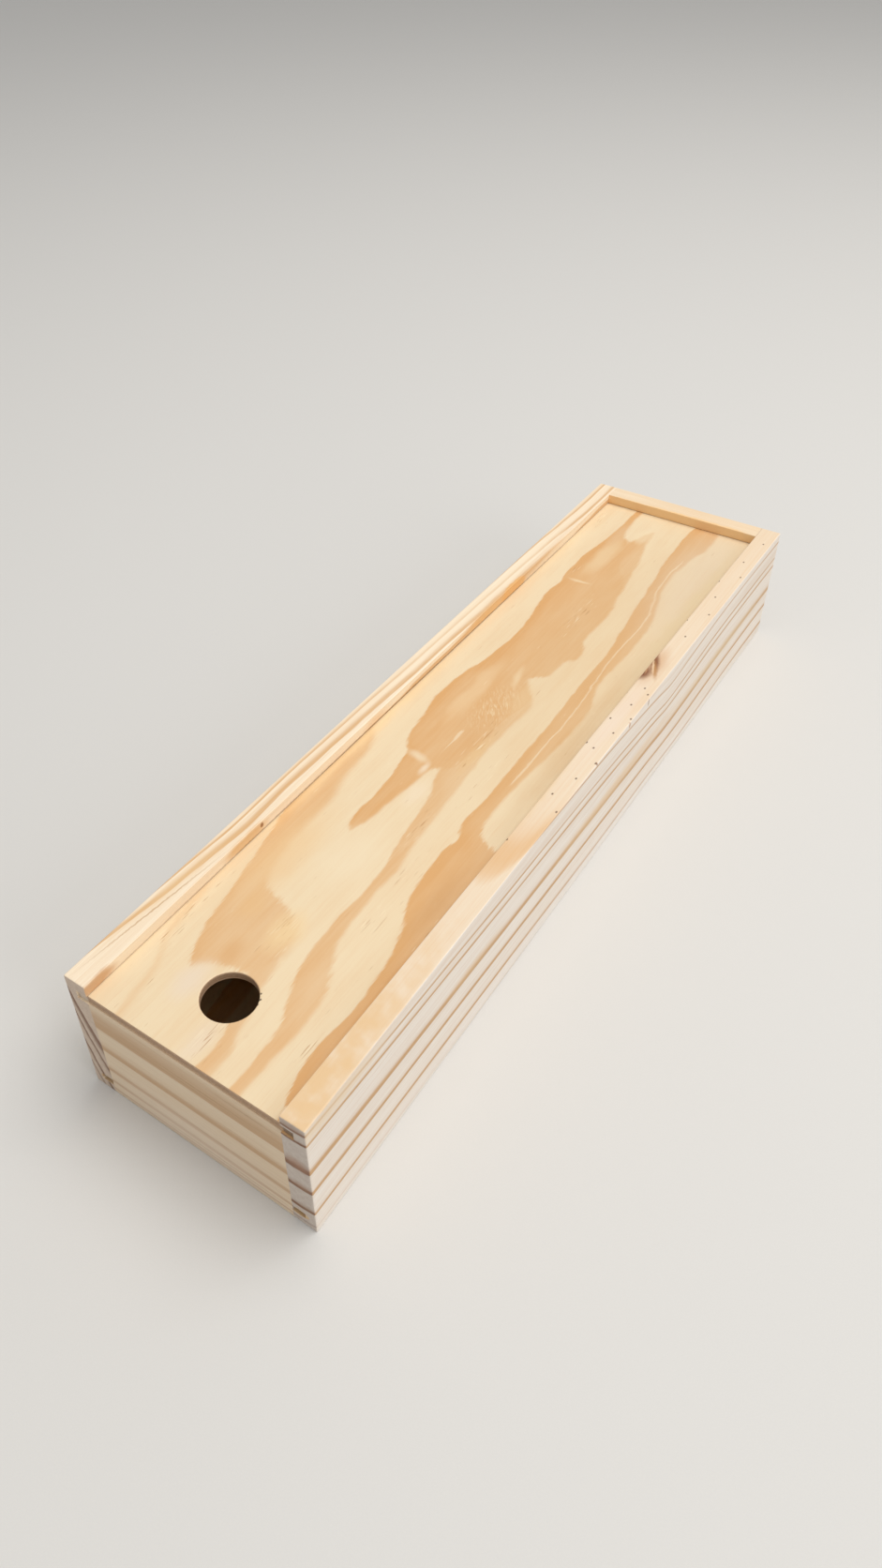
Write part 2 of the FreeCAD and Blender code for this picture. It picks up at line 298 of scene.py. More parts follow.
def fibres(surface: Surface, grain: Grain, strand: Strand) -> bpy.types.Node:
    """Noise drawn out along the fibres.

    Args:
        surface: the material in the making.
        grain: the fibres' direction.
        strand: the noise's sizes and seed.

    Returns:
        The noise node, which gives about 0.5 on average.
    """
    scale = [1 / strand.width] * 3
    scale[0 if grain is Grain.ALONG_X else 1] = 1 / strand.length
    shift = tuple(strand.seed * step for step in SEED_STEPS)
    stretched = surface.add(VECTOR, (surface.place, tuple(scale), shift), "MULTIPLY_ADD")
    return surface.add(
        NOISE, {"Vector": stretched, "Scale": 1.0, "Detail": strand.detail, "Roughness": 0.55}
    )


def cover(surface: Surface, patch: Patch, stir: Any) -> bpy.types.Node:
    """How far one patch covers a point.

    Args:
        surface: the material in the making.
        patch: the patch.
        stir: a place vector in millimetres, already stirred by noise.

    Returns:
        The node that gives the share, up to the patch's depth.
    """
    if patch.turn:
        stir = surface.add(
            TURN, {"Vector": stir, "Center": patch.at, "Angle": math.radians(-patch.turn)},
            rotation_type="Z_AXIS",
        )
    scale = tuple(1 / size for size in patch.size)
    shift = tuple(-at / size for at, size in zip(patch.at, patch.size))
    local = surface.add(VECTOR, (stir, scale, shift), "MULTIPLY_ADD")
    distance = surface.add(VECTOR, (local,), "LENGTH")
    return surface.add(
        RANGE,
        {"Value": distance.outputs["Value"], "From Min": 1.0, "From Max": 1 - patch.edge,
         "To Max": patch.depth},
        interpolation_type="SMOOTHSTEP",
    )


def apply_patches(surface: Surface, color: Any, patches: tuple[Patch, ...], stir: Any) -> Any:
    """Lay soft patches of other tones over a colour.

    Args:
        surface: the material in the making.
        color: the colour below.
        patches: the patches, the lowest first.
        stir: a place vector in millimetres, already stirred by noise.

    Returns:
        The colour with the patches on it.
    """
    for patch in patches:
        color = surface.add(
            MIX, {"Factor": cover(surface, patch, stir), "A": color, "B": linear(patch.tone)},
            data_type="RGBA",
        )
    return color


def stirred_place(surface: Surface, reach: float, size: float) -> bpy.types.Node:
    """The place of a point, pushed about by noise so that drawn edges look grown.

    Args:
        surface: the material in the making.
        reach: how far a point is pushed, in millimetres.
        size: the noise's typical size, in millimetres.

    Returns:
        The node that gives the pushed place.
    """
    noise = surface.add(NOISE, {"Vector": surface.place, "Scale": 1 / size, "Detail": 2.0})
    push = surface.add(VECTOR, (noise.outputs["Color"], MID_NOISE), "SUBTRACT")
    return surface.add(VECTOR, (push, (2 * reach,) * 3, surface.place), "MULTIPLY_ADD")


# --- Finishes ---
@dataclass(frozen=True)
class PlanedPine:
    """Pine, planed and lightly sanded, with nothing on it.

    The rings are solid: one field through the whole board gives the lines on
    its faces, the broad figure on its edges and the rings on its end grain.
    Pale earlywood is matt, and the narrow latewood is darker and smoother.

    The rings lie level. The slope, in degrees, tilts them about the line at
    slope_from, the cup bends them away from cup_middle, and the drifts move
    them along the board, at its top edge and at its foot.

    Patches lie under the sawn ends, and marks over everything.
    """

    name: str
    grain: Grain
    half_length: float
    height: float
    rings: tuple[Ring, ...]
    ring_span: float
    fade: Fade
    early: str
    late: str
    end_early: str
    end_late: str
    slope: float = 0.0
    slope_from: float = 0.0
    cup: float = 0.0
    cup_middle: float = 0.0
    drift_top: tuple[Point, ...] = ()
    drift_low: tuple[Point, ...] = ()
    patches: tuple[Patch, ...] = ()
    marks: tuple[Patch, ...] = ()
    cloud: float = 0.22
    wander: float = 1.1
    # Tones for faces that face up: painted light, a warmer tint that stands in for warm light from
    # above.
    top_early_painted_light: str = ""
    top_late_painted_light: str = ""
    specks: tuple[Point, ...] = ()
    speck_size: Place = (0.68, 1.0, 1.2)
    speck_tone: str = "#5C3A20"
    relief: float = 0.09

    def ring_scale(self, surface: Surface) -> Any:
        """The place of a point on the board's ring scale, in millimetres.

        Args:
            surface: the material in the making.

        Returns:
            The node that gives it.
        """
        across = surface.x if self.grain is Grain.ALONG_Y else surface.y
        along = surface.y if self.grain is Grain.ALONG_Y else surface.x
        turn = math.radians(self.slope)
        up = surface.add(MATH, (surface.z, math.cos(turn)), "MULTIPLY")
        side = surface.add(MATH, (across, self.slope_from), "SUBTRACT")
        scale = surface.add(MATH, (side, math.sin(turn), up), "MULTIPLY_ADD")
        off = surface.add(MATH, (across, self.cup_middle), "SUBTRACT")
        square = surface.add(MATH, (off, off), "MULTIPLY")
        scale = surface.add(MATH, (square, -self.cup, scale), "MULTIPLY_ADD")
        if self.drift_top:
            span = (-self.half_length, self.half_length)
            moved = [
                [(at - self.half_length, by) for at, by in points]
                for points in (self.drift_low or self.drift_top, self.drift_top)
            ]
            low, top = (surface.profile(along, points, span, DRIFT_REACH) for points in moved)
            share = surface.add(MATH, (surface.z, self.height), "DIVIDE")
            drift = surface.add(MIX, {"Factor": share, "A": low, "B": top})
            scale = surface.add(MATH, (scale, drift), "ADD")
        wander = fibres(surface, self.grain, PINE_WANDER)
        wander = surface.add(
            RANGE, {"Value": wander, "To Min": -self.wander, "To Max": self.wander}
        )
        return surface.add(MATH, (scale, wander), "ADD")

    def ring_points(self) -> list[Point]:
        """The latewood share along the ring scale, as the points of a curve.

        Returns:
            Points from 0 to the scale's end, each a place and a share.
        """
        points: list[Point] = []
        for ring in self.rings:
            side = self.fade.value
            knee = (RING_KNEE * ring.fade, ring.body)
            steps = ((-ring.crisp, 0.0), (0.0, 1.0), knee, (ring.fade, 0.0))
            points += [(ring.at + side * step, ring.depth * share) for step, share in steps]
        inside = sorted(point for point in points if 0 < point[0] < self.ring_span)
        spaced = [(0.0, 0.0)]
        for point in inside:
            if point[0] - spaced[-1][0] > LEAST_STEP:
                spaced.append(point)
        return spaced + [(self.ring_span, 0.0)]

    def build(self) -> bpy.types.Material:
        """Paint the finish.

        Returns:
            The finished material.
        """
        surface = Surface(self.name)
        scale = self.ring_scale(surface)
        fine = fibres(surface, self.grain, PINE_HAIR)
        jitter = surface.add(RANGE, {"Value": fine, "To Min": -0.3, "To Max": 0.3})
        combed = surface.add(MATH, (scale, jitter), "ADD")
        span, shares = (0.0, self.ring_span), (0.0, 1.0)
        late, end_late = (
            surface.profile(value, self.ring_points(), span, shares) for value in (combed, scale)
        )

        broad = fibres(surface, self.grain, PINE_CLOUD)
        tint = surface.add(
            RANGE, {"Value": broad, "From Min": 0.3, "From Max": 0.7, "To Max": self.cloud}
        )
        strand = fibres(surface, self.grain, PINE_STRAND)
        strands = surface.add(
            RANGE,
            {"Value": strand, "From Min": 0.35, "From Max": 0.72, "To Min": -0.07, "To Max": 0.16},
        )
        tint = surface.add(MATH, (tint, strands), "ADD")
        share = surface.add(MATH, (late, tint), "ADD", use_clamp=True)
        # Faces that face up take the top tones: painted light, for the warm light that falls on
        # top.
        painted_top_light_share = surface.add(RANGE, {"Value": surface.facing_z, "From Min": 0.6, "From Max": 0.9})
        early, dark = (
            surface.add(
                MIX, {"Factor": painted_top_light_share, "A": linear(tone), "B": linear(top or tone)},
                data_type="RGBA",
            )
            for tone, top in ((self.early, self.top_early_painted_light), (self.late, self.top_late_painted_light))
        )
        face = surface.add(MIX, {"Factor": share, "A": early, "B": dark}, data_type="RGBA")
        streak = surface.add(
            RANGE, {"Value": fine, "From Min": 0.52, "From Max": 0.8, "To Max": 0.30}
        )
        face = surface.add(MIX, {"Factor": streak, "A": face, "B": dark}, data_type="RGBA")
        pushed = stirred_place(surface, reach=1.6, size=9.0)
        face = apply_patches(surface, face, self.patches, pushed)
        face = self.with_specks(surface, face)

        end = self.end_grain(surface, end_late)
        facing = surface.facing_x if self.grain is Grain.ALONG_X else surface.facing_y
        at_end = surface.add(RANGE, {"Value": facing, "From Min": 0.6, "From Max": 0.85})
        color = surface.add(MIX, {"Factor": at_end, "A": face, "B": end}, data_type="RGBA")
        pushed = stirred_place(surface, reach=0.6, size=2.5)
        color = apply_patches(surface, color, self.marks, pushed)

        roughness = surface.add(RANGE, {"Value": late, "To Min": 0.66, "To Max": 0.50})
        height = surface.add(MATH, (late, LATE_RISE, fine), "MULTIPLY_ADD")
        return surface.finish(color, roughness, height, self.relief)

    def with_specks(self, surface: Surface, color: Any) -> Any:
        """Small brown specks on the top edge, where fine side shoots were cut through.

        Args:
            surface: the material in the making.
            color: the colour below.

        Returns:
            The colour with the specks on it.
        """
        if not self.specks:
            return color
        shrink = tuple(1 / size for size in self.speck_size)
        local = surface.add(VECTOR, (surface.place, shrink), "MULTIPLY")
        nearest: Any = FAR
        for across, along in self.specks:
            centre = (across, along - self.half_length, self.height)
            scaled = tuple(value * share for value, share in zip(centre, shrink))
            distance = surface.add(VECTOR, (local, scaled), "DISTANCE")
            nearest = surface.add(MATH, (distance.outputs["Value"], nearest), "MINIMUM")
        shown = surface.add(
            RANGE, {"Value": nearest, "From Min": 1.3, "From Max": 0.35, "To Max": 0.88},
            interpolation_type="SMOOTHSTEP",
        )
        return surface.add(
            MIX, {"Factor": shown, "A": color, "B": linear(self.speck_tone)}, data_type="RGBA"
        )

    def end_grain(self, surface: Surface, late: Any) -> Any:
        """The colour of the sawn ends, where the rings show dark on greyer wood.

        Args:
            surface: the material in the making.
            late: the latewood share.

        Returns:
            The colour.
        """
        mottle = surface.add(NOISE, {"Vector": surface.place, "Scale": END_MOTTLE, "Detail": 4.0})
        pores = surface.add(NOISE, {"Vector": surface.place, "Scale": END_PORES, "Detail": 2.0})
        tone = surface.add(
            RANGE, {"Value": mottle, "From Min": 0.35, "From Max": 0.7, "To Max": 0.16}
        )
        dark = surface.add(RANGE, {"Value": late, "From Max": 0.95})
        share = surface.add(MATH, (tone, dark), "ADD", use_clamp=True)
        grit = surface.add(
            RANGE, {"Value": pores, "From Min": 0.5, "From Max": 0.75, "To Max": 0.2}
        )
        share = surface.add(MATH, (share, grit), "ADD", use_clamp=True)
        return surface.add(
            MIX, {"Factor": share, "A": linear(self.end_early), "B": linear(self.end_late)},
            data_type="RGBA",
        )


@dataclass(frozen=True)
class PeeledPlywood:
    """Three-ply pine plywood, its faces peeled from the log and sanded.

    Peeling cuts the rings at a shallow slope, which gives broad tongues of
    orange latewood on a cream ground. Each tongue has one clean edge and one
    that feathers out. The sawn edges show the plies.
    """

    name: str
    half_length: float
    underside: float
    thickness: float
    bands: tuple[Band, ...]
    ripple: Patch
    pale: tuple[Band, ...] = ()
    patches: tuple[Patch, ...] = ()
    marks: tuple[Patch, ...] = ()
    beds: tuple[Patch, ...] = ()
    early: str = "#EDD7B2"
    late: str = "#DDA96D"
    paler: str = "#F2DEBB"
    pore: str = "#B5824C"
    dust: str = "#F8E6C4"
    sawn_outer: tuple[str, str] = ("#CBA988", "#A27C5C")
    sawn_core: tuple[str, str] = ("#BC9A7A", "#96714F")
    glue: str = "#6E4F36"
    relief: float = 0.10

    def band_share(self, surface: Surface, along: Any, across: Any, band: Band) -> bpy.types.Node:
        """How much latewood one band gives a point.

        Args:
            surface: the material in the making.
            along: the distance from the sheet's front edge, stirred.
            across: the place across the sheet, stirred.
            band: the band.

        Returns:
            The node that gives the share.
        """
        span = (0.0, 2 * self.half_length)
        left, right = (
            surface.profile(along, list(edge), span, BAND_REACH)
            for edge in (band.left, band.right)
        )
        from_left = surface.add(MATH, (across, left), "SUBTRACT")
        from_right = surface.add(MATH, (right, across), "SUBTRACT")
        shares = [
            surface.add(
                RANGE, {"Value": inside, "From Min": -reach / 2, "From Max": reach / 2},
                interpolation_type="SMOOTHSTEP",
            )
            for inside, reach in ((from_left, band.crisp), (from_right, band.soft))
        ]
        paling = surface.add(
            RANGE, {"Value": from_left, "From Max": 10.0, "To Min": 1.0, "To Max": 0.78}
        )
        both = surface.add(MATH, tuple(shares), "MULTIPLY")
        toned = surface.add(MATH, (both, paling), "MULTIPLY")
        return surface.add(MATH, (toned, band.depth), "MULTIPLY")

    def build(self) -> bpy.types.Material:
        """Paint the finish.

        Returns:
            The finished material.
        """
        surface = Surface(self.name)
        stir = stirred_place(surface, reach=1.3, size=14.0)
        fine = fibres(surface, Grain.ALONG_Y, VENEER_HAIR)
        comb = fibres(surface, Grain.ALONG_Y, VENEER_COMB)
        strand = fibres(surface, Grain.ALONG_Y, VENEER_STRAND)
        place = surface.add(SPLIT, (stir,))
        feather = surface.add(RANGE, {"Value": comb, "To Min": -9.0, "To Max": 9.0})
        along = surface.add(MATH, (place.outputs[1], feather), "ADD")
        along = surface.add(MATH, (along, self.half_length), "ADD")
        combing = surface.add(RANGE, {"Value": comb, "To Min": -0.9, "To Max": 0.9})
        across = surface.add(MATH, (place.outputs[0], combing), "ADD")

        late, pale = (
            self.deepest(surface, along, across, bands) for bands in (self.bands, self.pale)
        )
        broad = fibres(surface, Grain.ALONG_Y, VENEER_CLOUD)
        cloud = surface.add(
            RANGE,
            {"Value": broad, "From Min": 0.3, "From Max": 0.7, "To Min": -0.07, "To Max": 0.17},
        )
        strands = surface.add(
            RANGE,
            {"Value": strand, "From Min": 0.3, "From Max": 0.7, "To Min": -0.06, "To Max": 0.06},
        )
        tint = surface.add(MATH, (cloud, strands), "ADD")
        late = surface.add(MATH, (late, tint), "ADD", use_clamp=True)
        face = surface.add(
            MIX, {"Factor": late, "A": linear(self.early), "B": linear(self.late)},
            data_type="RGBA",
        )
        pushed = stirred_place(surface, reach=4.0, size=20.0)
        face = apply_patches(surface, face, self.patches, pushed)
        face = surface.add(
            MIX, {"Factor": pale, "A": face, "B": linear(self.paler)}, data_type="RGBA"
        )

        swell, face = self.with_ripple(surface, stir, face)
        thread = surface.add(
            RANGE, {"Value": fine, "From Min": 0.54, "From Max": 0.85, "To Max": 0.22}
        )
        face = surface.add(
            MIX, {"Factor": thread, "A": face, "B": linear(self.late)}, data_type="RGBA"
        )
        face, pits = self.with_pores(surface, stir, face)

        flat = surface.add(RANGE, {"Value": surface.facing_z, "From Min": 0.5, "From Max": 0.8})
        color = surface.add(
            MIX, {"Factor": flat, "A": self.sawn_edge(surface), "B": face}, data_type="RGBA"
        )
        pushed = stirred_place(surface, reach=0.5, size=1.6)
        color = apply_patches(surface, color, self.marks, pushed)
        roughness = surface.add(RANGE, {"Value": late, "To Min": 0.62, "To Max": 0.46})
        height = surface.add(MATH, (fine, HAIR_RISE, swell), "MULTIPLY_ADD")
        height = surface.add(MATH, (pits, CANAL_FALL, height), "MULTIPLY_ADD")
        return surface.finish(color, roughness, height, self.relief)

    def deepest(self, surface: Surface, along: Any, across: Any, bands: tuple[Band, ...]) -> Any:
        """The largest share that any of some bands gives a point.

        Args:
            surface: the material in the making.
            along: the distance from the sheet's front edge, stirred.
            across: the place across the sheet, stirred.
            bands: the bands.

        Returns:
            The share, 0 where there is no band.
        """
        share: Any = 0.0
        for band in bands:
            one = self.band_share(surface, along, across, band)
            share = surface.add(MATH, (share, one), "MAXIMUM")
        return share

    def with_ripple(self, surface: Surface, stir: Any, color: Any) -> tuple[Any, Any]:
        """Curly figure beside a buried knot, as short strokes aslant to the grain.

        Args:
            surface: the material in the making.
            stir: the stirred place.
            color: the colour below.

        Returns:
            The strokes' height and the colour with the strokes on it.
        """
        share = cover(surface, self.ripple, stir)
        turned = surface.add(
            TURN, {"Vector": stir, "Angle": math.radians(RIPPLE_SLANT)}, rotation_type="Z_AXIS"
        )
        shrink = tuple(1 / size for size in RIPPLE_STROKE)
        drawn = surface.add(VECTOR, (turned, shrink), "MULTIPLY")
        stroke = surface.add(
            NOISE, {"Vector": drawn, "Scale": 1.0, "Detail": 2.0, "Distortion": 0.7}
        )
        for limits, tone in (((0.52, 0.66), self.ripple.tone), ((0.47, 0.36), self.late)):
            crest = surface.add(
                RANGE, {"Value": stroke, "From Min": limits[0], "From Max": limits[1]}
            )
            depth = surface.add(MATH, (crest, share), "MULTIPLY")
            color = surface.add(
                MIX, {"Factor": depth, "A": color, "B": linear(tone)}, data_type="RGBA"
            )
        return surface.add(MATH, (stroke, share), "MULTIPLY"), color

    def with_pores(self, surface: Surface, stir: Any, color: Any) -> tuple[Any, Any]:
        """Resin canals cut lengthways, which show as short dashes, dark or filled with pale dust.

        Args:
            surface: the material in the making.
            stir: the stirred place.
            color: the colour below.

        Returns:
            The colour with the dashes on it, and the share of a dark dash.
        """
        dash = fibres(surface, Grain.ALONG_Y, RESIN_CANAL)
        crowd: Any = 0.0
        for bed in self.beds:
            crowd = surface.add(MATH, (crowd, cover(surface, bed, stir)), "MAXIMUM")
        odds = surface.add(MATH, (crowd, CANAL_CROWDING, -CANAL_RARITY), "MULTIPLY_ADD")
        above = surface.add(MATH, (dash, odds), "ADD")
        share = surface.add(RANGE, {"Value": above, "From Max": CANAL_EDGE, "To Max": 0.55})
        light = surface.add(MATH, (1.0, dash), "SUBTRACT")
        below = surface.add(MATH, (light, odds), "ADD")
        dust = surface.add(RANGE, {"Value": below, "From Max": CANAL_EDGE, "To Max": 0.5})
        color = surface.add(
            MIX, {"Factor": dust, "A": color, "B": linear(self.dust)}, data_type="RGBA"
        )
        return surface.add(
            MIX, {"Factor": share, "A": color, "B": linear(self.pore)}, data_type="RGBA"
        ), share

    def sawn_edge(self, surface: Surface) -> Any:
        """The plies on a sawn edge, the middle one's fibres running across the sheet.

        Args:
            surface: the material in the making.

        Returns:
            The colour.
        """
        ply = self.thickness / 3
        level = surface.add(MATH, (surface.z, self.underside), "SUBTRACT")
        middle = surface.add(MATH, (level, self.thickness / 2), "SUBTRACT")
        away = surface.add(MATH, (middle,), "ABSOLUTE")
        core = surface.add(
            RANGE, {"Value": away, "From Min": ply / 2 + 0.15, "From Max": ply / 2 - 0.15}
        )
        line = surface.add(MATH, (away, ply / 2), "SUBTRACT")
        line = surface.add(MATH, (line,), "ABSOLUTE")
        glue = surface.add(
            RANGE, {"Value": line, "From Min": 0.22, "From Max": 0.05, "To Max": 0.7}
        )
        speckle = surface.add(NOISE, {"Vector": surface.place, "Scale": SAWN_GRIT, "Detail": 3.0})
        grit = surface.add(
            RANGE, {"Value": speckle, "From Min": 0.35, "From Max": 0.7, "To Max": 0.6}
        )
        outer, inner = (
            surface.add(
                MIX, {"Factor": grit, "A": linear(light), "B": linear(dark)}, data_type="RGBA"
            )
            for light, dark in (self.sawn_outer, self.sawn_core)
        )
        sawn = surface.add(MIX, {"Factor": core, "A": outer, "B": inner}, data_type="RGBA")
        return surface.add(
            MIX, {"Factor": glue, "A": sawn, "B": linear(self.glue)}, data_type="RGBA"
        )


@dataclass(frozen=True)
class FlutedBeech:
    """Turned and fluted beech, pinkish brown with fine short flecks."""

    name: str = "beech, turned and fluted"
    early: str = "#DDB48C"
    late: str = "#B98558"
    relief: float = 0.05

    def build(self) -> bpy.types.Material:
        """Paint the finish.

        Returns:
            The finished material.
        """
        surface = Surface(self.name)
        fine = fibres(surface, Grain.ALONG_X, BEECH_FLECK)
        color = surface.add(
            MIX, {"Factor": fine, "A": linear(self.early), "B": linear(self.late)},
            data_type="RGBA",
        )
        roughness = surface.add(RANGE, {"Value": fine, "To Min": 0.5, "To Max": 0.65})
        return surface.finish(color, roughness, fine, self.relief)


@dataclass(frozen=True)
class StudioPaper:
    """Seamless matt background paper, pale warm grey."""

    name: str = "matt background paper"
    tone: str = "#DCDAD6"
    tooth_tone: str = "#D8D6D2"
    roughness: float = 0.9
    relief: float = 0.02

    def build(self) -> bpy.types.Material:
        """Paint the finish.

        Returns:
            The finished material.
        """
        surface = Surface(self.name)
        tooth = surface.add(NOISE, {"Vector": surface.place, "Scale": PAPER_TOOTH, "Detail": 3.0})
        color = surface.add(
            MIX, {"Factor": tooth, "A": linear(self.tone), "B": linear(self.tooth_tone)},
            data_type="RGBA",
        )
        return surface.finish(color, self.roughness, tooth, self.relief)


# --- The wood's figure, drawn from listed points ---
# A drift says how far down the rings lie: (distance from the front, drop).
LEFT_DRIFT = (
    (0, 0), (30, -2.9), (60, -6.0), (88, -7.7), (108, -8.8), (130, -9.8), (150, -9.4), (166, -8.9),
    (200, -9.2), (240, -9.6), (300, -10.6), (400, -11.7), (460, -12.8), (500, -14.0), (515, -15.0),
    (600, -15.8),
)
LEFT_RINGS = (
    Ring(5.6, 0.6, 2.4, 0.4), Ring(10.2, 0.9, 3.2, 0.4, 0.55), Ring(16.0, 0.8, 3.2, 0.4, 0.5),
    Ring(21.0, 0.85, 4.6, 0.5, 0.7),
)

# The rings dip under a knot in the right board's top edge, and less at its foot.
RIGHT_DRIFT_TOP = (
    (0, 0), (75, 5.4), (150, 9.7), (172, 11.0), (220, 13.2), (300, 16.9), (350, 22.3), (375, 26.0),
    (388, 28.8), (396, 30.4), (406, 29.9), (420, 28.0), (440, 25.8), (480, 22.0), (540, 21.4),
    (600, 21.8),
)
RIGHT_DRIFT_LOW = (
    (0, 0), (75, 1.2), (150, 2.6), (220, 5.0), (300, 8.2), (350, 8.2), (380, 8.0), (400, 8.6),
    (420, 10.0), (440, 10.2), (480, 9.0), (520, 7.2), (600, 6.6),
)
RIGHT_RINGS = (
    Ring(3.5, 0.35, 3.0, 0.9, 0.3), Ring(16.0, 1.0, 6.0, 0.9, 0.42),
    Ring(35.4, 1.0, 7.0, 0.9, 0.42), Ring(53.5, 1.0, 10.5, 1.0, 0.5),
    Ring(78.0, 0.95, 4.6, 0.8, 0.42), Ring(86.4, 0.85, 4.0, 0.8, 0.5),
    Ring(91.0, 0.1, 10.0, 1.4, 0.9), Ring(103.2, 0.8, 3.4, 0.3, 0.75), Ring(113.0, 0.12, 8.0, 2.0),
)
# (x, distance from the front) of each speck on the top edge.
RIGHT_SPECKS = (
    (61.8, 202), (60.8, 229), (74.6, 236), (65.7, 248), (71.2, 267), (74.9, 285), (67.6, 297),
    (71.5, 316), (63.8, 328), (74.8, 334), (69.0, 347), (61.2, 357), (73.5, 362), (69.2, 367),
    (68.4, 434), (61.6, 453), (71.9, 467), (67.3, 490), (61.7, 511), (72.9, 524), (67.3, 545),
    (70.6, 577),
)

FRONT_RINGS = (
    Ring(4.0, 1.0, 2.4, 0.7, 0.6), Ring(10.8, 0.95, 4.0, 0.7, 0.6), Ring(22.3, 1.0, 7.0, 0.8, 0.7),
    Ring(40.6, 0.85, 12.0, 0.8, 0.5), Ring(60.3, 0.84, 25.0, 0.8, 0.76),
)
# Fine lines on the front: (x, z, reach, thickness, depth).
FRONT_LINES = (
    (-10, 62.6, 78, 0.6, 0.5), (14, 65.4, 60, 0.7, 0.6), (-30, 67.3, 40, 0.5, 0.4),
    (40, 72.6, 34, 1.1, 0.5), (-20, 74.6, 40, 0.7, 0.25), (10, 24.8, 80, 0.6, 0.4),
    (-16, 44.4, 50, 0.6, 0.3), (30, 46.6, 34, 0.5, 0.3), (0, 13.2, 90, 0.5, 0.35),
    (20, 7.4, 80, 0.5, 0.5), (-10, 1.8, 90, 0.6, 0.5),
)

BACK_RINGS = (
    Ring(9.0, 0.5, 5.0), Ring(24.0, 0.7, 7.0), Ring(41.0, 0.6, 8.0), Ring(60.0, 0.8, 9.0),
    Ring(74.0, 0.5, 5.0), Ring(80.5, 1.0, 11.5, 0.6, 0.9),
)

BOTTOM_BANDS = (
    Band(((0, -40), (150, -52), (320, -30), (450, -44), (600, -50)),
         ((0, -26), (150, -38), (320, -8), (450, -30), (600, -44)), 0.8),
    Band(((0, 8), (120, 14), (260, 22), (420, 6), (600, 2)),
         ((0, 14), (120, 30), (260, 34), (420, 20), (600, 18)), 0.9),
    Band(((0, 62), (200, 50), (380, 46), (600, 54)),
         ((0, 66), (200, 60), (380, 64), (600, 60)), 0.7),
)

# The tongues of latewood on the lid.
BESIDE_RAIL = Band(
    ((0, -10), (38, -20), (43, -29), (46, -34), (58, -39.7), (72, -43.8), (93, -48), (117, -52.2),
     (133, -55.5), (150, -59.7), (160, -63), (180, -70), (600, -70)),
    ((0, -20), (38, -33), (44, -31), (50, -25.5), (54, -18), (57, 0), (72, 3.7), (85, 3), (93, -1),
     (98, -7), (101, -15), (104, -25), (107, -33), (120, -38.8), (143, -42.2), (183, -44.3),
     (200, -48), (229, -51), (250, -61), (275, -72), (600, -76)),
    0.76, 1.6, 6.5,
)
UNDER_HOLE = Band(
    ((0, 9.5), (17, 10.3), (29, 7), (40, 0), (60, -4), (76, -2), (97, -3), (600, 20)),
    ((0, 20), (17, 18.7), (25, 15.3), (37, 12.8), (50, 8.7), (67, 5.3), (80, 2), (97, -3),
     (600, -20)),
    0.58, 1.8, 3.6,
)
HEART = Band(
    ((0, 0), (150, -17), (167, -21), (173, -24), (179, -25), (200, -24.7), (217, -26),
     (233, -28.8), (240, -30.5), (252, -37.2), (267, -39.7), (278, -41.3), (288, -43.5),
     (317, -43.5), (332, -41.3), (343, -38.3), (358, -36.7), (383, -34.7), (400, -35.5),
     (422, -38.8), (443, -41.3), (463, -40), (470, -41.3), (483, -41.8), (507, -41.3), (527, -38),
     (550, -36.7), (600, -36)),
    ((0, -30), (150, -24), (167, -20), (176, -16), (184, -15), (200, -13.5), (214, -11),
     (228, -10), (236, -8), (241, 2), (300, 6), (324, 10), (331, 7), (336, 2), (341, -2),
     (346, -1), (353, 7), (364, 8.5), (374, 9), (379, 14.5), (392, 14), (400, 9.5), (447, 8.7),
     (455, 6.2), (472, 4.5), (487, 0), (500, -10), (535, -19), (543, -27), (550, -29.7),
     (600, -29.7)),
    0.98, 1.4, 3.0,
)
HEART_TIP = Band(
    ((0, 10), (440, 0), (470, -19), (537, -20), (548, -17), (558, -13), (566, -8), (600, 10)),
    ((0, -30), (440, -6), (460, 5), (472, 4.5), (487, 2), (507, -0.5), (527, -4.5), (540, -8),
     (556, -9), (566, -13), (600, -30)),
    0.84, 3.0, 3.0,
)
LONG_WAVE = Band(
    ((0, 30.3), (22, 30.7), (40, 28.7), (50, 24.5), (62, 19.5), (75, 15.3), (90, 13.3),
     (117, 12.8), (133, 13.7), (150, 12.8), (167, 10.3), (183, 7), (200, 5.3), (213, 3.7),
     (220, 0.3), (234, -4), (300, -6), (340, 0), (360, 20), (600, 20)),
    ((0, 37.3), (25, 37.8), (47, 38.3), (66, 37), (75, 32.8), (87, 27), (100, 22), (133, 19.5),
     (158, 19.5), (177, 17), (200, 15.8), (217, 14), (233, 13.5), (250, 12.3), (270, 10.9),
     (283, 11.6), (300, 12), (317, 13), (325, 11), (332, 5), (346, -4), (360, -20), (600, -20)),
    0.72, 1.6, 3.4,
)
